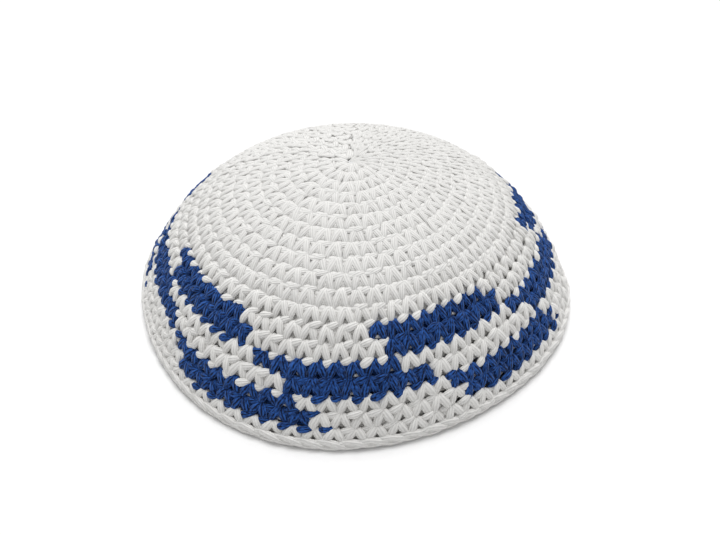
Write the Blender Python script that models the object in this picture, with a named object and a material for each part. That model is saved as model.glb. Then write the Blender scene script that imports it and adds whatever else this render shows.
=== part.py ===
"""Crocheted skullcap: one cotton fabric, worked in rounds from the crown to the edge.

It has a white crown, three tiers of blue and white blocks set like a
chequerboard, one more white round and a braided edge. Metres, +Z up. The cap
stands on its edge at z = 0 with its front towards -Y, and the origin is under
the middle of the rim. Angles are counted from the front towards +X.
"""

import math

import bmesh
import bpy
import numpy as np
from mathutils import Vector

# Sizes, in metres
RIM_RADIUS = 0.084
CAP_HEIGHT = 0.0525
WALL = 0.0038
RIB_HEIGHT = 0.0005
EDGE_LIP = 0.0004
PIECE_GAP = 0.0003

# How the crown leans over the rim, in metres
CROWN_TO_RIGHT = 0.0023
CROWN_TO_BACK = 0.0086
SHOULDER_DROP_AT_FRONT = 0.0020
SHOULDER_RISE_AT_RIGHT = 0.0029

# How far down the cap each course reaches, counted in rounds of stitches
CENTRE_RING = 1.3
CROWN_ROUNDS = 11
TIER_ROUNDS = 2
TIER_NAMES = ("a", "b", "c")
PLAIN_ROUND = 0.7
EDGE_BRAID = 0.5

# The blocks: how many go round, and how their sides slant as the stitches lean
BLOCKS_AROUND = 10
COLUMNS_PER_BLOCK = 4
FIRST_SIDE_DEG = -1.3
SLANT_DEG_PER_ROUND = 4.6
FRONT_SPREAD_DEG = 6.4
FRONT_SPREAD_HEADING_DEG = 47.0

# The outline from the middle of the crown down to the rim
OUTLINE = (
    # share of the way down, slope in degrees
    (0.00, 0.0),
    (0.14, 7.4),
    (0.29, 14.8),
    (0.43, 19.7),
    (0.57, 36.7),
    (0.71, 50.4),
    (0.86, 62.1),
    (1.00, 65.8),
)

# The soft corners of the rim, seen from above
CORNERS = (
    # corners around, how far out as a share of the radius, heading of one in degrees
    (2, 0.052, 69.0),
    (3, 0.042, -18.0),
)

WHITE_COTTON = (0.80, 0.80, 0.77, 1.0)
BLUE_COTTON = (0.035, 0.095, 0.335, 1.0)
COTTON_ROUGHNESS = 0.9

ROWS_PER_ROUND = 2
OUTLINE_STEPS = 400
OUTLINE_OVERRUN = 1.05
WELD_DISTANCE = 1e-6
NORMAL_STEP = 0.02
FLOOR_TRIM = 0.3

COLUMNS = BLOCKS_AROUND * COLUMNS_PER_BLOCK
CROWN_END = CENTRE_RING + CROWN_ROUNDS
PATTERN_END = CROWN_END + TIER_ROUNDS * len(TIER_NAMES)
PLAIN_END = PATTERN_END + PLAIN_ROUND
ROUNDS = PLAIN_END + EDGE_BRAID


def outline():
    """Radius and height of the outer side at each share of the way to the rim."""
    table = np.array(OUTLINE)
    shares = np.linspace(0.0, OUTLINE_OVERRUN, OUTLINE_STEPS)
    slopes = np.radians(np.interp(shares, table[:, 0], table[:, 1]))
    middles = (slopes[1:] + slopes[:-1]) / 2
    out = np.concatenate(([0.0], np.cumsum(np.cos(middles))))
    down = np.concatenate(([0.0], np.cumsum(np.sin(middles))))
    radii = RIM_RADIUS * out / np.interp(1.0, shares, out)
    heights = CAP_HEIGHT * (1.0 - down / np.interp(1.0, shares, down))
    return shares, radii, heights


SHARES, RADII, HEIGHTS = outline()
LENGTH_DOWN = float(np.sum(np.hypot(np.diff(RADII), np.diff(HEIGHTS)))) / OUTLINE_OVERRUN
ROUND_HEIGHT = LENGTH_DOWN / ROUNDS


def on_cap(rounds, angle):
    """The point of the outer side that many rounds down, at an angle from the front."""
    share = rounds / ROUNDS
    towards_rim = share ** 2
    radius = float(np.interp(share, SHARES, RADII))
    height = float(np.interp(share, SHARES, HEIGHTS))
    corner = sum(
        reach * math.cos(count * (angle - math.radians(heading)))
        for count, reach, heading in CORNERS
    )
    bent = radius * (1.0 + towards_rim * corner)
    shoulder = radius / RIM_RADIUS * (1.0 - towards_rim ** 2)
    lean = SHOULDER_RISE_AT_RIGHT * math.sin(angle) - SHOULDER_DROP_AT_FRONT * math.cos(angle)
    return Vector((
        bent * math.sin(angle) + CROWN_TO_RIGHT * (1.0 - towards_rim),
        -bent * math.cos(angle) + CROWN_TO_BACK * (1.0 - towards_rim),
        height + shoulder * lean,
    ))


def middle_of_rim():
    """Middle of the rim's extent in X and Y, which the origin goes under."""
    rim = [on_cap(ROUNDS, math.radians(degree)) for degree in range(360)]
    xs = [point.x for point in rim]
    ys = [point.y for point in rim]
    return Vector(((min(xs) + max(xs)) / 2, (min(ys) + max(ys)) / 2, 0.0))


def bend(flat, depth):
    """Bend a point of the flat drawing over the cap, that deep below the outer side.

    The drawing is the cap's rounds laid flat: a point's distance from the
    middle is counted in rounds, and its angle is the angle on the cap.
    """
    def outer(x, y):
        return on_cap(math.hypot(x, y), math.atan2(x, -y))

    across = outer(flat.x + NORMAL_STEP, flat.y) - outer(flat.x - NORMAL_STEP, flat.y)
    along = outer(flat.x, flat.y + NORMAL_STEP) - outer(flat.x, flat.y - NORMAL_STEP)
    outward = across.cross(along).normalized()
    return outer(flat.x, flat.y) - outward * depth - MIDDLE


MIDDLE = middle_of_rim()


def column_angle(column, rounds):
    """Angle of a line of stitches, which leans sideways as it goes down the pattern."""
    slanted = min(max(rounds - CROWN_END, 0.0), PATTERN_END - CROWN_END)
    even = FIRST_SIDE_DEG + column * 360.0 / COLUMNS + SLANT_DEG_PER_ROUND * slanted
    spread = FRONT_SPREAD_DEG * math.cos(math.radians(even - FRONT_SPREAD_HEADING_DEG))
    return math.radians(even + spread)


def rows(first, last, rounds):
    """Where the rows of a piece lie: the valleys and crests of its rounds."""
    count = round(ROWS_PER_ROUND * rounds)
    return [first + (last - first) * index / count for index in range(count + 1)]


def cotton(name, colour):
    """Matt cotton yarn of one colour."""
    material = bpy.data.materials.new(name)
    material.use_nodes = True
    shader = material.node_tree.nodes["Principled BSDF"]
    shader.inputs["Base Color"].default_value = colour
    shader.inputs["Roughness"].default_value = COTTON_ROUGHNESS
    shader.inputs["Metallic"].default_value = 0.0
    return material


def fabric(name, row_rounds, first_column, column_count, colour, lip=0.0):
    """One piece of the fabric, drawn flat, thickened to the wall and bent over the cap."""
    half_gap = PIECE_GAP / 2 / ROUND_HEIGHT
    row_rounds = list(row_rounds)
    if row_rounds[0] > 0.0:
        row_rounds[0] += half_gap
    if row_rounds[-1] < ROUNDS:
        row_rounds[-1] -= half_gap
    is_ring = column_count == COLUMNS

    bm = bmesh.new()
    bmesh.ops.create_grid(bm, x_segments=column_count, y_segments=len(row_rounds) - 1, size=1.0)
    crests = bm.verts.layers.int.new("crest")
    for vert in bm.verts:
        column = round((vert.co.x + 1.0) / 2 * column_count)
        row = round((vert.co.y + 1.0) / 2 * (len(row_rounds) - 1))
        rounds = row_rounds[row]
        angle = column_angle(first_column + column, rounds)
        if not is_ring and column in (0, column_count):
            radius = float(np.interp(rounds / ROUNDS, SHARES, RADII))
            side_gap = PIECE_GAP / 2 / radius
            angle += side_gap if column == 0 else -side_gap
        vert.co = Vector((rounds * math.sin(angle), -rounds * math.cos(angle), 0.0))
        vert[crests] = row % ROWS_PER_ROUND
    bmesh.ops.remove_doubles(bm, verts=bm.verts[:], dist=WELD_DISTANCE)

    outer_side = bm.verts[:]
    thickened = bmesh.ops.extrude_face_region(bm, geom=bm.faces[:], use_keep_orig=True)
    inner_side = [item for item in thickened["geom"] if isinstance(item, bmesh.types.BMVert)]
    for vert in outer_side:
        valley = 0.0 if vert[crests] else RIB_HEIGHT
        vert.co = bend(vert.co, valley - lip)
    for vert in inner_side:
        vert.co = bend(vert.co, WALL + lip)
    bmesh.ops.triangulate(bm, faces=bm.faces[:])
    bmesh.ops.recalc_face_normals(bm, faces=bm.faces[:])

    mesh = bpy.data.meshes.new(name)
    bm.to_mesh(mesh)
    bm.free()
    piece = bpy.data.objects.new(name, mesh)
    mesh.materials.append(cotton(name + "_cotton", colour))
    parts.objects.link(piece)
    return piece


def crown():
    """White crown: the ring that the work starts from, and eleven rounds."""
    ring = rows(0.0, CENTRE_RING, 1)
    rounds = rows(CENTRE_RING, CROWN_END, CROWN_ROUNDS)
    return fabric("crown", ring + rounds[1:], 0, COLUMNS, WHITE_COTTON)


def pattern_band():
    """Three tiers of ten blocks, blue and white by turns along a tier and down the cap."""
    for tier, tier_name in enumerate(TIER_NAMES):
        top = CROWN_END + tier * TIER_ROUNDS
        tier_rows = rows(top, top + TIER_ROUNDS, TIER_ROUNDS)
        for block in range(BLOCKS_AROUND):
            is_blue = (block + tier) % 2 == 0
            colour_name = "blue" if is_blue else "white"
            name = f"{colour_name}_block_{tier_name}{block + 1:02d}"
            colour = BLUE_COTTON if is_blue else WHITE_COTTON
            fabric(name, tier_rows, block * COLUMNS_PER_BLOCK, COLUMNS_PER_BLOCK, colour)


def plain_round():
    """One white round under the blocks."""
    return fabric("plain_round", rows(PATTERN_END, PLAIN_END, 1), 0, COLUMNS, WHITE_COTTON)


def edge_braid():
    """The last stitches' loops, lying along the rim as a braid, flat where the cap rests."""
    below_floor = ROUNDS + FLOOR_TRIM
    braid = fabric("edge_braid", rows(PLAIN_END, below_floor, 1), 0, COLUMNS, WHITE_COTTON, EDGE_LIP)

    size = 4 * RIM_RADIUS
    bpy.ops.mesh.primitive_cube_add(size=size, location=(0.0, 0.0, -size / 2))
    floor_cutter = bpy.context.object
    floor_cutter.name = "floor_cutter"
    floor_cutter.display_type = "WIRE"
    floor_cutter.hide_render = True
    for collection in list(floor_cutter.users_collection):
        collection.objects.unlink(floor_cutter)
    cutters.objects.link(floor_cutter)

    trim = braid.modifiers.new("flat_underside", "BOOLEAN")
    trim.operation = "DIFFERENCE"
    trim.solver = "EXACT"
    trim.object = floor_cutter
    return braid


for old in list(bpy.data.objects):
    bpy.data.objects.remove(old, do_unlink=True)

parts = bpy.data.collections.new("skullcap")
cutters = bpy.data.collections.new("cutters")
bpy.context.scene.collection.children.link(parts)
bpy.context.scene.collection.children.link(cutters)

crown()
pattern_band()
plain_round()
edge_braid()
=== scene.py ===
"""Looks of a crocheted skullcap in white and blue cotton, stitch by stitch.

Metres, +Z up, the front towards -Y, angles counted from the front towards +X.
Rounds are counted from the middle of the crown down to the rim.
"""

import math

import bmesh
import bpy
import numpy as np
from mathutils import Matrix, Vector


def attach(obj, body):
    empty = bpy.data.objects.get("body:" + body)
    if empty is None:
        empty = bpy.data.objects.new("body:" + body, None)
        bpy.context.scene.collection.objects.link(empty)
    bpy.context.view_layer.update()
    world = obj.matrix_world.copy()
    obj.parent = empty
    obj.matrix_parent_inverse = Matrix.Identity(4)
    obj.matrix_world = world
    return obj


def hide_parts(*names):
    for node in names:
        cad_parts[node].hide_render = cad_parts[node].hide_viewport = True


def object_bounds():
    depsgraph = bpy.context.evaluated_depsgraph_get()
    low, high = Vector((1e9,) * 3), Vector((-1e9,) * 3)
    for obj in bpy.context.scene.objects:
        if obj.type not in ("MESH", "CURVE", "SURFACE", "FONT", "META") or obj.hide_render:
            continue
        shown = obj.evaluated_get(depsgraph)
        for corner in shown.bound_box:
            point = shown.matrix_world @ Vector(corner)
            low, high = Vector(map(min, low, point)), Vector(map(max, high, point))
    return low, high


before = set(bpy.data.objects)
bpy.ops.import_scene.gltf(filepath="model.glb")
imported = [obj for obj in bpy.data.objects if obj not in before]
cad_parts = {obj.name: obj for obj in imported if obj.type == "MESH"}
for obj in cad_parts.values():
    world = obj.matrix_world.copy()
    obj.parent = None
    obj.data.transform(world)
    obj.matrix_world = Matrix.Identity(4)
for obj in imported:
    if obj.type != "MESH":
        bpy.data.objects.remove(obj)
cad_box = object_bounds()

# The shape of the fabric.
# The cap is one cotton fabric, crocheted in a spiral from the crown, soft enough to
# stand with blunt corners at its rim. Every stitch below is laid on this shape.

CENTRE_RING = 1.3
CROWN_ROUNDS = 11
TIER_ROUNDS = 2
TIERS = 3
PLAIN_ROUND = 0.7
EDGE_BRAID = 0.5
CROWN_END = CENTRE_RING + CROWN_ROUNDS
PATTERN_END = CROWN_END + TIER_ROUNDS * TIERS
PLAIN_END = PATTERN_END + PLAIN_ROUND
ROUNDS = PLAIN_END + EDGE_BRAID

BLOCKS_AROUND = 10
FIRST_SIDE_DEG = -1.3
SLANT_DEG_PER_ROUND = 4.6
FRONT_SPREAD_DEG = 6.4
FRONT_SPREAD_HEADING_DEG = 47.0

# Shares of the rim's radius
CROWN_TO_RIGHT = 0.0274
CROWN_TO_BACK = 0.1024
SHOULDER_DROP_AT_FRONT = 0.0238
SHOULDER_RISE_AT_RIGHT = 0.0345

# How far the solids' braid stands out past the fabric, in metres
EDGE_LIP = 0.0004

OUTLINE = (
    # share of the way down, slope in degrees
    (0.00, 0.0),
    (0.14, 7.4),
    (0.29, 14.8),
    (0.43, 19.7),
    (0.57, 36.7),
    (0.71, 50.4),
    (0.86, 62.1),
    (1.00, 65.8),
)
CORNERS = (
    # corners around, how far out as a share of the radius, heading of one in degrees
    (2, 0.052, 69.0),
    (3, 0.042, -18.0),
)
OUTLINE_STEPS = 400
OUTLINE_OVERRUN = 1.05

table = np.array(OUTLINE)
shares_down = np.linspace(0.0, OUTLINE_OVERRUN, OUTLINE_STEPS)
slopes = np.radians(np.interp(shares_down, table[:, 0], table[:, 1]))
between = (slopes[1:] + slopes[:-1]) / 2
radius_down = np.concatenate(([0.0], np.cumsum(np.cos(between))))
drop_down = np.concatenate(([0.0], np.cumsum(np.sin(between))))
radius_down = radius_down / np.interp(1.0, shares_down, radius_down)
drop_down = drop_down / np.interp(1.0, shares_down, drop_down)


def unit_cap(rounds, angle):
    """The cap's outer side, for a rim radius of 1 and a height of 1, as rows of X, Y and Z."""
    rounds, angle = np.broadcast_arrays(np.asarray(rounds, float), np.asarray(angle, float))
    share = rounds / ROUNDS
    towards_rim = share ** 2
    radius = np.interp(share, shares_down, radius_down)
    drop = np.interp(share, shares_down, drop_down)
    corner = sum(reach * np.cos(count * (angle - math.radians(heading)))
                 for count, reach, heading in CORNERS)
    bent = radius * (1.0 + towards_rim * corner)
    lean = SHOULDER_RISE_AT_RIGHT * np.sin(angle) - SHOULDER_DROP_AT_FRONT * np.cos(angle)
    x = bent * np.sin(angle) + CROWN_TO_RIGHT * (1.0 - towards_rim)
    y = -bent * np.cos(angle) + CROWN_TO_BACK * (1.0 - towards_rim)
    shoulder = radius * (1.0 - towards_rim ** 2) * lean
    return np.stack([x, y, 1.0 - drop, shoulder], axis=-1)


rim = unit_cap(ROUNDS, np.radians(np.arange(360)))
rim_low, rim_high = rim[:, :2].min(axis=0), rim[:, :2].max(axis=0)
cap_low, cap_high = np.array(cad_box[0]), np.array(cad_box[1])
RIM_RADIUS = (cap_high[0] - cap_low[0] - 2 * EDGE_LIP) / (rim_high[0] - rim_low[0])
CAP_HEIGHT = cap_high[2] - cap_low[2]
rim_middle = (rim_low + rim_high) / 2


def on_cap(rounds, angle):
    """Points of the outer side, in metres."""
    unit = unit_cap(rounds, angle)
    return np.stack([
        (unit[..., 0] - rim_middle[0]) * RIM_RADIUS,
        (unit[..., 1] - rim_middle[1]) * RIM_RADIUS,
        unit[..., 2] * CAP_HEIGHT + unit[..., 3] * RIM_RADIUS,
    ], axis=-1)


def spread(even_deg):
    """Angle of a place in the round, whose stitches lie a little wider at the front."""
    heading = np.radians(np.asarray(even_deg) - FRONT_SPREAD_HEADING_DEG)
    return np.radians(even_deg + FRONT_SPREAD_DEG * np.cos(heading))


# The camera and the light.
# The cap stands on a pale floor and is seen from the front, from a little above it,
# close by, under a large soft light overhead.

CAMERA_DISTANCE = 0.2628
CAMERA_RISE_DEG = 31.16
CAMERA_PITCH_DEG = 39.76
CAMERA_TURN_DEG = 0.70
FOCAL_LENGTH = 35.15
SENSOR_WIDTH = 36.0
CLIP_START = 0.01

middle_of_crown = Vector(on_cap(0.0, 0.0))
rise = math.radians(CAMERA_RISE_DEG)
camera_data = bpy.data.cameras.new("camera")
camera_data.lens = FOCAL_LENGTH
camera_data.sensor_width = SENSOR_WIDTH
camera_data.clip_start = CLIP_START
camera = bpy.data.objects.new("camera", camera_data)
camera.location = middle_of_crown + CAMERA_DISTANCE * Vector((0.0, -math.cos(rise), math.sin(rise)))
camera.rotation_euler = (math.radians(90.0 - CAMERA_PITCH_DEG), 0.0, -math.radians(CAMERA_TURN_DEG))
bpy.context.scene.collection.objects.link(camera)
bpy.context.scene.camera = camera

LIGHT_FROM = Vector((0.08, 0.80, 1.75))
LIGHT_STRENGTH = 2.55
LIGHT_WIDTH_DEG = 50.0

lamp_data = bpy.data.lights.new("overhead_softbox", "SUN")
lamp_data.energy = LIGHT_STRENGTH
lamp_data.angle = math.radians(LIGHT_WIDTH_DEG)
lamp = bpy.data.objects.new("overhead_softbox", lamp_data)
lamp.location = LIGHT_FROM
lamp.rotation_euler = (-LIGHT_FROM).to_track_quat("-Z", "Y").to_euler()
bpy.context.scene.collection.objects.link(lamp)


class Value:
    """A node socket that takes part in Python sums."""

    def __init__(self, nodes, socket):
        self.nodes = nodes
        self.socket = socket

    def math(self, operation, *terms):
        node = self.nodes.add("ShaderNodeMath", {"operation": operation})
        for index, term in enumerate(terms):
            self.nodes.feed(node.inputs[index], term)
        return Value(self.nodes, node.outputs[0])

    def __add__(self, other):
        return self.math("ADD", self, other)

    def __radd__(self, other):
        return self.math("ADD", other, self)

    def __sub__(self, other):
        return self.math("SUBTRACT", self, other)

    def __rsub__(self, other):
        return self.math("SUBTRACT", other, self)

    def __mul__(self, other):
        return self.math("MULTIPLY", self, other)

    def __rmul__(self, other):
        return self.math("MULTIPLY", other, self)

    def power(self, other):
        return self.math("POWER", self, other)

    def sine(self):
        return self.math("SINE", self)

    def absolute(self):
        return self.math("ABSOLUTE", self)


class Nodes:
    """The node tree of a material or of the world, and the ways in which its nodes are made."""

    def __init__(self, owner, shader="Principled BSDF"):
        owner.use_nodes = True
        self.tree = owner.node_tree
        self.shader = self.tree.nodes[shader]

    def feed(self, socket, term):
        if isinstance(term, Value):
            self.tree.links.new(term.socket, socket)
        elif term is not None:
            socket.default_value = term

    def add(self, kind, settings=None, **sockets):
        node = self.tree.nodes.new(kind)
        for key, setting in (settings or {}).items():
            setattr(node, key, setting)
        for key, term in sockets.items():
            self.feed(node.inputs[key.replace("_", " ")], term)
        return node

    def out(self, node, name):
        return Value(self, node.outputs[name])

    def noise(self, place, scale, detail=2.0):
        node = self.add("ShaderNodeTexNoise", {}, Vector=place, Scale=scale, Detail=detail)
        return Value(self, node.outputs["Fac"])

    def mix(self, factor, first, second):
        node = self.add("ShaderNodeMix", {"data_type": "RGBA"})
        self.feed(node.inputs[0], factor)
        self.feed(node.inputs[6], first)
        self.feed(node.inputs[7], second)
        return Value(self, node.outputs[2])

    def bump(self, height, depth, normal=None):
        node = self.add("ShaderNodeBump", {}, Height=height, Distance=depth, Normal=normal)
        return Value(self, node.outputs["Normal"])


# The surroundings light the cap softly, and look as pale as the floor to the camera.
AMBIENT_LIGHT = 0.355
BACKGROUND_GLOW = 1.0

world = bpy.data.worlds.new("studio")
studio = Nodes(world, "Background")
seen = studio.out(studio.add("ShaderNodeLightPath"), "Is Camera Ray")
studio.feed(studio.shader.inputs["Color"], (1.0, 1.0, 1.0, 1.0))
studio.feed(studio.shader.inputs["Strength"],
            AMBIENT_LIGHT + seen * (BACKGROUND_GLOW - AMBIENT_LIGHT))
bpy.context.scene.world = world
bpy.context.scene.view_settings.view_transform = "Standard"


# The floor.
# A plain pale sheet under the cap, wide enough to fill the view.

FLOOR_REACH = 20.0
FLOOR_SEGMENTS = 8
PAPER_SHADED = (0.97, 0.97, 0.97, 1.0)
PAPER_LIT = (0.99, 0.99, 0.99, 1.0)
PAPER_ROUGHNESS = 0.9
GRAIN_SCALE = 900.0
GRAIN_DEPTH = 0.00002
FINE_DETAIL = 3.0

paper_material = bpy.data.materials.new("white_paper")
paper = Nodes(paper_material)
paper_place = paper.out(paper.add("ShaderNodeTexCoord"), "Object")
paper_grain = paper.noise(paper_place, GRAIN_SCALE, FINE_DETAIL)
paper.feed(paper.shader.inputs["Base Color"], paper.mix(paper_grain, PAPER_SHADED, PAPER_LIT))
paper.feed(paper.shader.inputs["Normal"], paper.bump(paper_grain, GRAIN_DEPTH))
paper.feed(paper.shader.inputs["Roughness"], PAPER_ROUGHNESS)

bm = bmesh.new()
bmesh.ops.create_grid(bm, x_segments=FLOOR_SEGMENTS, y_segments=FLOOR_SEGMENTS, size=FLOOR_REACH)
floor_mesh = bpy.data.meshes.new("floor")
bm.to_mesh(floor_mesh)
bm.free()
floor_mesh.materials.append(paper_material)
floor = bpy.data.objects.new("floor", floor_mesh)
floor.location = (0.0, 0.0, cap_low[2])
bpy.context.scene.collection.objects.link(floor)


# The cotton yarn.
# Matt, softly twisted cotton in two colours. Each strand shows a few fine plies
# that run along it, and a haze of short fibres. Each colour is mixed from a lit and
# a shaded copy of it, which paint light and shade on the yarn: painted shade between
# the plies, painted highlights and shade along the fibres.

PLIES_AROUND = 9
PLY_WANDER = 0.3
PLY_ROUNDNESS = 0.6
PLY_DEPTH = 0.00015
FIBRES_AROUND = 14.0
FIBRES_ALONG = 1.5
FIBRE_WANDER = 8.0
FIBRE_DEPTH = 0.00005
FIBRE_BUMP = 0.6
FUZZ_BUMP = 0.4

# Noise scales, in waves to a metre
WANDER_SCALE = 260.0
FUZZ_SCALE = 2600.0
CLOUD_SCALE = 90.0

# How much painted shade the hollows between the plies add, and how much of the shaded colour the
# fuzz and the cloudiness add at random
GROOVE_SHADE = 0.40
GROOVE_SHARPNESS = 2.0
FUZZ_SHADE = 0.15
CLOUD_SHADE = 0.25

YARN_ROUGHNESS = 0.8
FUZZ_ROUGHNESS = 0.2
YARN_SPECULAR = 0.12
SHEEN_ROUGHNESS = 0.5


def cotton_yarn(name, lit, shaded, shade, contrast, sheen, sheen_tint):
    """Yarn whose UV runs round the strand in U and along it, in strand widths, in V."""
    material = bpy.data.materials.new(name)
    yarn = Nodes(material)
    uv = yarn.out(yarn.add("ShaderNodeUVMap", {"uv_map": "strand"}), "UV")
    place = yarn.out(yarn.add("ShaderNodeTexCoord"), "Object")
    split = yarn.add("ShaderNodeSeparateXYZ", {}, Vector=uv)
    around, along = yarn.out(split, "X"), yarn.out(split, "Y")

    wander = yarn.noise(place, WANDER_SCALE)
    ply = ((around * PLIES_AROUND + 0.5 + wander * PLY_WANDER) * math.pi).sine().absolute()
    lie = yarn.add("ShaderNodeCombineXYZ", {},
                   X=around * FIBRES_AROUND, Y=along * FIBRES_ALONG, Z=wander * FIBRE_WANDER)
    fibres = yarn.noise(yarn.out(lie, "Vector"), 1.0)
    fuzz = yarn.noise(place, FUZZ_SCALE, FINE_DETAIL)
    cloudy = yarn.noise(place, CLOUD_SCALE)

    # Painted shade: the yarn is mixed towards its shaded colour in the hollows between the plies.
    painted_groove_shade = (1.0 - ply).power(GROOVE_SHARPNESS)
    # Painted highlights and shade: random lines along the fibres, lighter or darker by the
    # contrast.
    painted_fibre_highlights_and_shade = (fibres - 0.5) * contrast
    # The share of shade mixes the whole yarn towards its shaded colour, as painted shade.
    tone = shade + painted_groove_shade * GROOVE_SHADE + painted_fibre_highlights_and_shade + fuzz * FUZZ_SHADE + cloudy * CLOUD_SHADE
    yarn.feed(yarn.shader.inputs["Base Color"], yarn.mix(tone, lit, shaded))
    yarn.feed(yarn.shader.inputs["Roughness"], YARN_ROUGHNESS + fuzz * FUZZ_ROUGHNESS)

    plies = yarn.bump(ply.power(PLY_ROUNDNESS), PLY_DEPTH)
    haze = yarn.bump(fuzz * FUZZ_BUMP + fibres * FIBRE_BUMP, FIBRE_DEPTH, plies)
    yarn.feed(yarn.shader.inputs["Normal"], haze)
    yarn.feed(yarn.shader.inputs["Specular IOR Level"], YARN_SPECULAR)
    yarn.feed(yarn.shader.inputs["Sheen Weight"], sheen)
    yarn.feed(yarn.shader.inputs["Sheen Roughness"], SHEEN_ROUGHNESS)
    yarn.feed(yarn.shader.inputs["Sheen Tint"], sheen_tint)
    return material


# The lit and shaded colours of each yarn are its painted light and painted shade.
white_cotton = cotton_yarn(
    "white_cotton",
    lit=(0.91, 0.90, 0.88, 1.0), shaded=(0.76, 0.755, 0.735, 1.0),
    shade=0.0, contrast=2.0, sheen=0.10, sheen_tint=(1.0, 1.0, 1.0, 1.0))
# Painted shade: the blue's shaded colour is near black, and a share of it lies over the whole yarn,
# so its gaps look dark.
blue_cotton = cotton_yarn(
    "blue_cotton",
    lit=(0.031, 0.122, 0.450, 1.0), shaded=(0.001, 0.004, 0.026, 1.0),
    shade=0.25, contrast=3.3, sheen=0.22, sheen_tint=(0.55, 0.7, 1.0, 1.0))


# One stitch of the fabric.
# A single crochet is a loop of yarn drawn up through the round before it. From
# outside it shows two legs that part downwards and the loop that ties their feet.

STITCH_WIDTH = 0.0060
STITCH_HEIGHT = 0.0055
STRAND_STEPS = 6

# Sides of a strand's section, where it shows and where it lies behind others
SHOWN_SIDES = 10
HIDDEN_SIDES = 6


def strand(bm, path, sides, uv_layer):
    """A soft strand along a path, whose rows are X, Y, Z, half width and half depth in metres."""
    path = np.array(path)
    count = len(path)
    # A smooth curve through the rows
    spots = np.linspace(0.0, count - 1.0, STRAND_STEPS)
    smooth = []
    for spot in spots:
        index = min(int(spot), count - 2)
        share = spot - index
        before = path[max(index - 1, 0)]
        start, end = path[index], path[index + 1]
        after = path[min(index + 2, count - 1)]
        smooth.append(0.5 * (2 * start + (end - before) * share
                             + (2 * before - 5 * start + 4 * end - after) * share ** 2
                             + (3 * start - before - 3 * end + after) * share ** 3))
    smooth = np.array(smooth)
    rings, lengths = [], [0.0]
    for step, row in enumerate(smooth):
        ahead = smooth[min(step + 1, STRAND_STEPS - 1), :3] - smooth[max(step - 1, 0), :3]
        ahead = Vector(ahead).normalized()
        side = ahead.cross(Vector((0.0, 0.0, 1.0))).normalized()
        lift = side.cross(ahead).normalized()
        centre = Vector(row[:3])
        if step:
            lengths.append(lengths[-1] + (centre - Vector(smooth[step - 1, :3])).length)
        ring = []
        for corner in range(sides):
            turn = math.tau * corner / sides
            ring.append(bm.verts.new(centre + side * (math.cos(turn) * row[3])
                                     + lift * (math.sin(turn) * row[4])))
        rings.append(ring)
    width = 2 * float(smooth[:, 3].max())
    for step in range(STRAND_STEPS - 1):
        for corner in range(sides):
            following = (corner + 1) % sides
            face = bm.faces.new((rings[step][corner], rings[step][following],
                                 rings[step + 1][following], rings[step + 1][corner]))
            face.smooth = True
            around = (corner, corner + 1, corner + 1, corner)
            along = (step, step, step + 1, step + 1)
            for loop, u, v in zip(face.loops, around, along):
                loop[uv_layer].uv = (u / sides, lengths[v] / width)
    for ring in (rings[0], rings[-1]):
        face = bm.faces.new(ring)
        face.smooth = True
        for loop in face.loops:
            loop[uv_layer].uv = (0.0, 0.0)


def strand_shape(name, sides, rows):
    """A strand of a stitch drawn flat: X to the right, Y up to the crown, Z out, in metres.

    Rows: across in stitch widths, down in rounds, then depth, half width and half
    thickness in millimetres. Depth counts outwards from the outer side.
    """
    bm = bmesh.new()
    path = [(x * STITCH_WIDTH, -y * STITCH_HEIGHT, z / 1000, width / 1000, depth / 1000)
            for x, y, z, width, depth in rows]
    strand(bm, path, sides, bm.loops.layers.uv.new("strand"))
    bmesh.ops.recalc_face_normals(bm, faces=bm.faces[:])
    mesh = bpy.data.meshes.new(name)
    bm.to_mesh(mesh)
    bm.free()
    shape = bpy.data.objects.new(name, mesh)
    bpy.context.scene.collection.objects.link(shape)
    return shape


LEGS = [
    strand_shape("left_leg", SHOWN_SIDES, (
        (0.03, -0.12, -1.45, 1.00, 0.70), (-0.03, 0.06, -0.72, 1.30, 0.85),
        (-0.13, 0.30, -0.50, 1.42, 0.90), (-0.24, 0.58, -0.50, 1.40, 0.90),
        (-0.31, 0.86, -0.95, 1.10, 0.75), (-0.30, 1.04, -1.70, 0.80, 0.60))),
    strand_shape("right_leg", SHOWN_SIDES, (
        (0.09, -0.12, -1.45, 1.00, 0.70), (0.16, 0.06, -0.70, 1.30, 0.85),
        (0.24, 0.28, -0.48, 1.42, 0.90), (0.34, 0.54, -0.48, 1.40, 0.90),
        (0.45, 0.80, -0.90, 1.10, 0.75), (0.50, 0.98, -1.70, 0.80, 0.60))),
]
LOOP = strand_shape("front_loop", SHOWN_SIDES, (
    (-0.03, 1.12, -1.30, 0.60, 0.50), (0.14, 1.07, -0.60, 1.10, 0.70),
    (0.36, 0.98, -0.35, 1.35, 0.80), (0.58, 0.87, -0.55, 1.05, 0.70),
    (0.78, 0.78, -1.30, 0.50, 0.45)))
POST = strand_shape("post", HIDDEN_SIDES, (
    (-0.58, 0.22, -1.50, 1.40, 0.80), (-0.15, 0.24, -1.25, 1.70, 0.85),
    (0.25, 0.24, -1.25, 1.70, 0.85), (0.62, 0.22, -1.50, 1.40, 0.80)))
PURL = strand_shape("purl", HIDDEN_SIDES, (
    (-0.55, 0.72, -2.20, 1.50, 0.80), (-0.10, 0.74, -2.40, 1.70, 0.85),
    (0.25, 0.74, -2.40, 1.70, 0.85), (0.60, 0.72, -2.20, 1.50, 0.80)))
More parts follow.
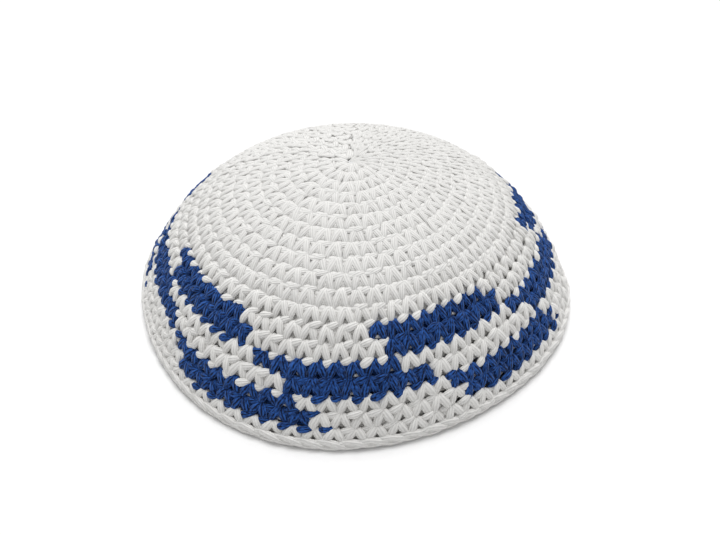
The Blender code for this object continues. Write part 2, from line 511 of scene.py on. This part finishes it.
# In the crown the stitches are tight, and their inner strands lie close under the legs.
TIGHT_LOOP = strand_shape("tight_loop", SHOWN_SIDES, (
    (-0.03, 1.14, -1.40, 0.60, 0.50), (0.12, 1.10, -0.85, 1.10, 0.70),
    (0.32, 1.01, -0.60, 1.35, 0.85), (0.52, 0.92, -0.80, 1.10, 0.70),
    (0.70, 0.85, -1.40, 0.60, 0.45)))
TIGHT_POSTS = [
    strand_shape("upper_post", HIDDEN_SIDES, (
        (-0.50, 0.40, -1.50, 1.50, 0.80), (-0.15, 0.46, -1.15, 1.90, 0.85),
        (0.25, 0.46, -1.15, 1.90, 0.85), (0.60, 0.40, -1.50, 1.50, 0.80))),
    strand_shape("lower_post", HIDDEN_SIDES, (
        (-0.50, 1.00, -1.50, 1.50, 0.80), (-0.15, 1.02, -1.20, 1.80, 0.85),
        (0.25, 1.02, -1.20, 1.80, 0.85), (0.60, 1.00, -1.50, 1.50, 0.80))),
]
OPEN_STITCH = LEGS + [POST, PURL]
TIGHT_STITCH = LEGS + TIGHT_POSTS + [PURL, TIGHT_LOOP]

# Where a stitch lies in its round: down in rounds, across in stitch widths
APEX_LEAD = 0.27
WIDEST = 0.7
SHAPE_MIDDLE = 0.08
PATTERN_STAGGER = -0.19

STITCHES_AT_RING = 6
STITCHES_PER_ROUND = 6.4
STITCHES_AROUND = 80
LAST_ROUND = CROWN_ROUNDS + TIER_ROUNDS * TIERS + 1

# The spiral steps down a round at the back. It fades at its start and towards the edge,
# where the rounds are lower too.
JOG_DEG = 180.0
SPIRAL_FADE = {0: 0.8, LAST_ROUND - 1: 0.75, LAST_ROUND: 0.3}
FIRST_LOW_ROUND = LAST_ROUND - 2
ROUND_HEIGHTS = {FIRST_LOW_ROUND: 0.9, LAST_ROUND - 1: 0.9, LAST_ROUND: 0.8}

# The crown's stitches are pulled flat, those of the band stand out fully.
FLAT_UNTIL = (8.0, CROWN_END)
FLATNESS = (0.50, 1.0)


def round_of_stitches(number):
    """A round's stitches: their count, index, angles in degrees and places down in rounds."""
    apex = number + APEX_LEAD
    if number > FIRST_LOW_ROUND:
        apex = FIRST_LOW_ROUND + APEX_LEAD + sum(
            ROUND_HEIGHTS[above] for above in range(FIRST_LOW_ROUND, number))
    if number <= CROWN_ROUNDS:
        # The crown is one unbroken spiral, so a round goes on where the one above it stopped.
        count = STITCHES_AT_RING + STITCHES_PER_ROUND * number
        worked = number * (STITCHES_AT_RING + STITCHES_PER_ROUND * (number - 1) / 2)
        first = math.ceil(worked - 0.5)
        index = np.arange(math.ceil(worked + count - 0.5) - first)
        even = JOG_DEG - (index + first + 0.5 - worked) * 360.0 / count
    else:
        count = STITCHES_AROUND
        index = np.arange(count)
        first_side = FIRST_SIDE_DEG + SLANT_DEG_PER_ROUND * (apex + 0.5 - CROWN_END)
        stagger = (PATTERN_STAGGER * (number - CROWN_ROUNDS - 1) + 0.5) % 1.0 - 0.5
        even = first_side + (index + 0.5 - SHAPE_MIDDLE + stagger) * 360.0 / count
    from_front = (even + JOG_DEG) % 360.0 - JOG_DEG
    spiral = -from_front / 360.0 * SPIRAL_FADE.get(number, 1.0)
    return count, index, even, apex + spiral


def laid_stitches(even, apex, count, height=1.0):
    """A row for each stitch: its point, right, up, out, width, height and relief."""
    half = 180.0 / count
    widest = apex + WIDEST * height
    left = on_cap(widest, spread(even - half))
    right = on_cap(widest, spread(even + half))
    top = on_cap(np.maximum(apex, 0.0), spread(even))
    foot = on_cap(apex + height, spread(even))
    across = right - left
    widths = np.linalg.norm(across, axis=1)
    down = foot - top
    out = np.cross(down, across)
    out /= np.linalg.norm(out, axis=1)[:, None]
    across /= widths[:, None]
    up = np.cross(out, across)
    heights = -np.einsum("ij,ij->i", down, up)
    relief = np.interp(apex, FLAT_UNTIL, FLATNESS)
    return list(zip(top, across, up, out, widths, heights, relief))


def rows_of(numbers, wanted=None):
    """The stitches of some rounds, or those of them for which wanted(number, index) is true."""
    stitches = []
    for number in numbers:
        count, index, even, apex = round_of_stitches(number)
        laid = laid_stitches(even, apex, count, ROUND_HEIGHTS.get(number, 1.0))
        stitches += [laid[k] for k in index if wanted is None or wanted(number, k)]
    return stitches


def points_object(name, stitches):
    """A mesh of one point a stitch, with its turn and size as attributes."""
    places, turns, sizes = [], [], []
    for place, across, up, out, width, height, relief in stitches:
        places.append(place)
        turn = Matrix((across, up, out)).transposed()
        turns.append(turn.to_euler())
        sizes.append((width / STITCH_WIDTH, height / STITCH_HEIGHT, relief))
    mesh = bpy.data.meshes.new(name)
    mesh.from_pydata([tuple(place) for place in places], [], [])
    turn_layer = mesh.attributes.new("turn", "FLOAT_VECTOR", "POINT")
    turn_layer.data.foreach_set("vector", np.array([tuple(turn) for turn in turns]).ravel())
    size_layer = mesh.attributes.new("size", "FLOAT_VECTOR", "POINT")
    size_layer.data.foreach_set("vector", np.array(sizes).ravel())
    places_object = bpy.data.objects.new(name, mesh)
    bpy.context.scene.collection.objects.link(places_object)
    return places_object


# The sizes are drawn with another seed than the turns.
SEED_STEP = 17.0


def stitch_tree():
    """Geometry nodes that set a stitch on each point, each a little unlike the next."""
    tree = bpy.data.node_groups.new("crochet", "GeometryNodeTree")
    for name, kind, in_out in (
        ("Geometry", "NodeSocketGeometry", "INPUT"),
        ("Stitch", "NodeSocketObject", "INPUT"),
        ("Yarn", "NodeSocketMaterial", "INPUT"),
        ("Sway", "NodeSocketFloat", "INPUT"),
        ("Uneven Size", "NodeSocketFloat", "INPUT"),
        ("Seed", "NodeSocketInt", "INPUT"),
        ("Geometry", "NodeSocketGeometry", "OUTPUT"),
    ):
        tree.interface.new_socket(name, in_out=in_out, socket_type=kind)

    def feed(socket, term):
        if isinstance(term, bpy.types.NodeSocket):
            tree.links.new(term, socket)
        else:
            socket.default_value = term

    def node(kind, settings=None, **sockets):
        made = tree.nodes.new(kind)
        for key, setting in (settings or {}).items():
            setattr(made, key, setting)
        for key, term in sockets.items():
            feed(made.inputs[key.replace("_", " ")], term)
        return made

    def maths(kind, operation, *terms, **sockets):
        made = node(kind, {"operation": operation}, **sockets)
        for socket, term in zip(made.inputs, terms):
            feed(socket, term)
        return made.outputs[0]

    def chance(seed, reach):
        """A random vector for each point, as far as the reach each way."""
        drawn = node("FunctionNodeRandomValue", {"data_type": "FLOAT_VECTOR"}, Seed=seed,
                     Min=(-1.0, -1.0, -1.0), Max=(1.0, 1.0, 1.0))
        return maths("ShaderNodeVectorMath", "SCALE", drawn.outputs[0], Scale=reach)

    given = node("NodeGroupInput").outputs
    turn = node("GeometryNodeInputNamedAttribute", {"data_type": "FLOAT_VECTOR"}, Name="turn")
    size = node("GeometryNodeInputNamedAttribute", {"data_type": "FLOAT_VECTOR"}, Name="size")

    whole = node("FunctionNodeEulerToRotation", {}, Euler=turn.outputs["Attribute"])
    tilt = node("FunctionNodeEulerToRotation", {}, Euler=chance(given["Seed"], given["Sway"]))
    turned = node("FunctionNodeRotateRotation", {"rotation_space": "LOCAL"},
                  Rotation=whole.outputs[0], Rotate_By=tilt.outputs[0])

    other_seed = maths("ShaderNodeMath", "ADD", given["Seed"], SEED_STEP)
    factor = maths("ShaderNodeVectorMath", "ADD",
                   chance(other_seed, given["Uneven Size"]), (1.0, 1.0, 1.0))
    sized = maths("ShaderNodeVectorMath", "MULTIPLY", size.outputs["Attribute"], factor)

    shape = node("GeometryNodeObjectInfo", {}, Object=given["Stitch"], As_Instance=True)
    placed = node("GeometryNodeInstanceOnPoints", {}, Points=given["Geometry"],
                  Instance=shape.outputs["Geometry"], Rotation=turned.outputs[0], Scale=sized)
    real = node("GeometryNodeRealizeInstances", {}, Geometry=placed.outputs["Instances"])
    dyed = node("GeometryNodeSetMaterial", {}, Geometry=real.outputs["Geometry"],
                Material=given["Yarn"])
    node("NodeGroupOutput", {}, Geometry=dyed.outputs["Geometry"])
    return tree


crochet = stitch_tree()

# How far the stitches turn, in radians, and how much their sizes differ, either way
SWAY = 0.10
UNEVEN_SIZE = 0.08


def crocheted(stitches, shapes, yarn, seed, sway=SWAY, uneven=UNEVEN_SIZE):
    """Meshes of the strands of some stitches, made real and without their modifier."""
    meshes = []
    for shape in shapes:
        places = points_object("places", stitches)
        modifier = places.modifiers.new("crochet", "NODES")
        modifier.node_group = crochet
        wanted = {"Stitch": shape, "Yarn": yarn, "Sway": sway, "Uneven Size": uneven, "Seed": seed}
        for item in crochet.interface.items_tree:
            if item.in_out == "INPUT" and item.name in wanted:
                modifier[item.identifier] = wanted[item.name]
        bpy.context.view_layer.update()
        graph = bpy.context.evaluated_depsgraph_get()
        meshes.append(bpy.data.meshes.new_from_object(places.evaluated_get(graph), depsgraph=graph))
        bpy.data.objects.remove(places)
    return meshes


def piece(name, meshes, nodes):
    """One piece of the cap from the meshes of its stitches, in place of its plain solids."""
    bm = bmesh.new()
    materials = []
    for mesh in meshes:
        for material in mesh.materials:
            if material not in materials:
                materials.append(material)
        bm.from_mesh(mesh)
    whole = bpy.data.meshes.new(name)
    bm.to_mesh(whole)
    bm.free()
    for material in materials:
        whole.materials.append(material)
    made = bpy.data.objects.new(name, whole)
    bpy.context.scene.collection.objects.link(made)
    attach(made, "root")
    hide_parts(*nodes)
    return made


# The crown.
# White cotton, worked outwards from a closed ring at the top, with a few stitches
# more in each round. It is made as two pieces, the top and the shoulder.

FIRST_SHOULDER_ROUND = 8
TOP_SEED = 11
SHOULDER_SEED = 12
OPEN_ROUND_SEED = 13
TIGHT_SWAY = 0.04

MIDDLE_KNOT = strand_shape("middle_knot", SHOWN_SIDES, (
    (-0.40, 0.0, -1.80, 1.20, 0.70), (-0.15, 0.0, -1.10, 2.10, 0.90),
    (0.15, 0.0, -1.10, 2.10, 0.90), (0.40, 0.0, -1.80, 1.20, 0.70)))
middle_stitch = laid_stitches(np.zeros(1), np.zeros(1), STITCHES_AT_RING)

top_meshes = crocheted(rows_of(range(FIRST_SHOULDER_ROUND)), TIGHT_STITCH, white_cotton,
                       TOP_SEED, TIGHT_SWAY)
top_meshes += crocheted(middle_stitch, [MIDDLE_KNOT], white_cotton, TOP_SEED, 0.0, 0.0)
piece("crown_top", top_meshes, ["crown"])

shoulder_meshes = crocheted(rows_of(range(FIRST_SHOULDER_ROUND, CROWN_ROUNDS)), TIGHT_STITCH,
                            white_cotton, SHOULDER_SEED, TIGHT_SWAY)
shoulder_meshes += crocheted(rows_of([CROWN_ROUNDS]), OPEN_STITCH + [LOOP], white_cotton,
                             OPEN_ROUND_SEED)
piece("crown_shoulder", shoulder_meshes, ["crown"])


# The band of blocks.
# Three tiers of ten blocks, eight stitches wide and two rounds high, blue and white
# by turns. The next colour is taken up one loop early, so a loop of it shows.

TIER_NAMES = "abc"
WHITE_SEED = 21
BLUE_SEED = 31
STITCHES_PER_BLOCK = STITCHES_AROUND // BLOCKS_AROUND
FIRST_PATTERN_ROUND = CROWN_ROUNDS + 1
PATTERN_ROUNDS = range(FIRST_PATTERN_ROUND, FIRST_PATTERN_ROUND + TIER_ROUNDS * TIERS)


def blue_at(number, index):
    """Whether the chart has blue at a stitch of a round of the band."""
    tier = (number - FIRST_PATTERN_ROUND) // TIER_ROUNDS
    block = (index % STITCHES_AROUND) // STITCHES_PER_BLOCK
    return (block + tier) % 2 == 0


def blue_loop_at(number, index):
    """Whether a stitch's loop is blue: it has the colour of the stitch worked after it."""
    return blue_at(number, index - 1)


def block_nodes(colour_name, is_blue):
    """The solids of the blocks of one colour."""
    return [f"{colour_name}_block_{tier_name}{block + 1:02d}"
            for tier, tier_name in enumerate(TIER_NAMES)
            for block in range(BLOCKS_AROUND) if ((block + tier) % 2 == 0) == is_blue]


for colour_name, yarn, is_blue, seed in (("white", white_cotton, False, WHITE_SEED),
                                         ("blue", blue_cotton, True, BLUE_SEED)):
    legs = crocheted(rows_of(PATTERN_ROUNDS, lambda n, k: blue_at(n, k) == is_blue),
                     OPEN_STITCH, yarn, seed)
    loops = crocheted(rows_of(PATTERN_ROUNDS, lambda n, k: blue_loop_at(n, k) == is_blue),
                      [LOOP], yarn, seed + 1)
    piece(colour_name + "_blocks", legs + loops,
          block_nodes(colour_name, is_blue))


# The carried yarn.
# The white strand that isn't in use runs along inside the blue stitches, and glints
# here and there in the small holes between their legs.

CARRIED_SEED = 35
CARRIED = strand_shape("carried_strand", HIDDEN_SIDES, (
    (-0.30, 0.74, -2.20, 0.40, 0.40), (-0.05, 0.70, -1.60, 0.60, 0.45),
    (0.18, 0.72, -1.60, 0.60, 0.45), (0.42, 0.76, -2.20, 0.40, 0.40)))


def glints_at(number, index):
    """Whether the carried strand shows in a stitch: in two blue ones of five, well scattered."""
    return blue_at(number, index) and (7 * index + 3 * number) % 5 < 2


carried_meshes = crocheted(rows_of(PATTERN_ROUNDS, glints_at), [CARRIED], white_cotton,
                           CARRIED_SEED)
piece("carried_yarn", carried_meshes, block_nodes("blue", True))


# The last round.
# One more white round closes the band.

LAST_ROUND_SEED = 41

last_meshes = crocheted(rows_of([LAST_ROUND]), OPEN_STITCH + [LOOP], white_cotton, LAST_ROUND_SEED)
piece("last_round", last_meshes, ["plain_round"])


# The edge.
# The loops of a round of slip stitches lie along the rim like a flat braid.

EDGE_OVERLAP = 0.29
EDGE_SWAY = 0.04
EDGE_UNEVEN_SIZE = 0.04
EDGE_SEED = 51
EDGE_STRANDS = [
    strand_shape("upper_edge_strand", SHOWN_SIDES, (
        (-0.75, 0.20, -1.90, 0.80, 0.70), (-0.40, 0.07, -0.70, 1.15, 0.95),
        (0.10, 0.12, -0.40, 1.25, 1.05), (0.60, 0.28, -0.60, 1.15, 0.95),
        (0.90, 0.38, -1.70, 0.75, 0.70))),
    strand_shape("lower_edge_strand", SHOWN_SIDES, (
        (-0.75, 0.30, -1.90, 0.75, 0.70), (-0.40, 0.38, -1.20, 1.05, 0.90),
        (0.10, 0.39, -1.00, 1.15, 0.95), (0.60, 0.32, -1.30, 1.05, 0.90),
        (0.90, 0.22, -2.20, 0.75, 0.70))),
    strand_shape("inner_edge_strand", HIDDEN_SIDES, (
        (-0.55, 0.15, -2.80, 0.90, 0.65), (-0.10, 0.18, -2.90, 0.95, 0.70),
        (0.30, 0.18, -2.90, 0.95, 0.70), (0.60, 0.15, -2.80, 0.90, 0.65))),
]

edge_even = FIRST_SIDE_DEG + (np.arange(STITCHES_AROUND) + 0.5) * 360.0 / STITCHES_AROUND
edge_top = np.full(STITCHES_AROUND, PLAIN_END - EDGE_OVERLAP)
edge_stitches = laid_stitches(edge_even, edge_top, STITCHES_AROUND)
edge_meshes = crocheted(edge_stitches, EDGE_STRANDS, white_cotton,
                        EDGE_SEED, EDGE_SWAY, EDGE_UNEVEN_SIZE)
piece("edge_loops", edge_meshes, ["edge_braid"])

# The drawn strands have been copied onto the cap, and the flat ones go.
for shape in TIGHT_STITCH + [POST, LOOP, MIDDLE_KNOT, CARRIED] + EDGE_STRANDS:
    bpy.data.objects.remove(shape)
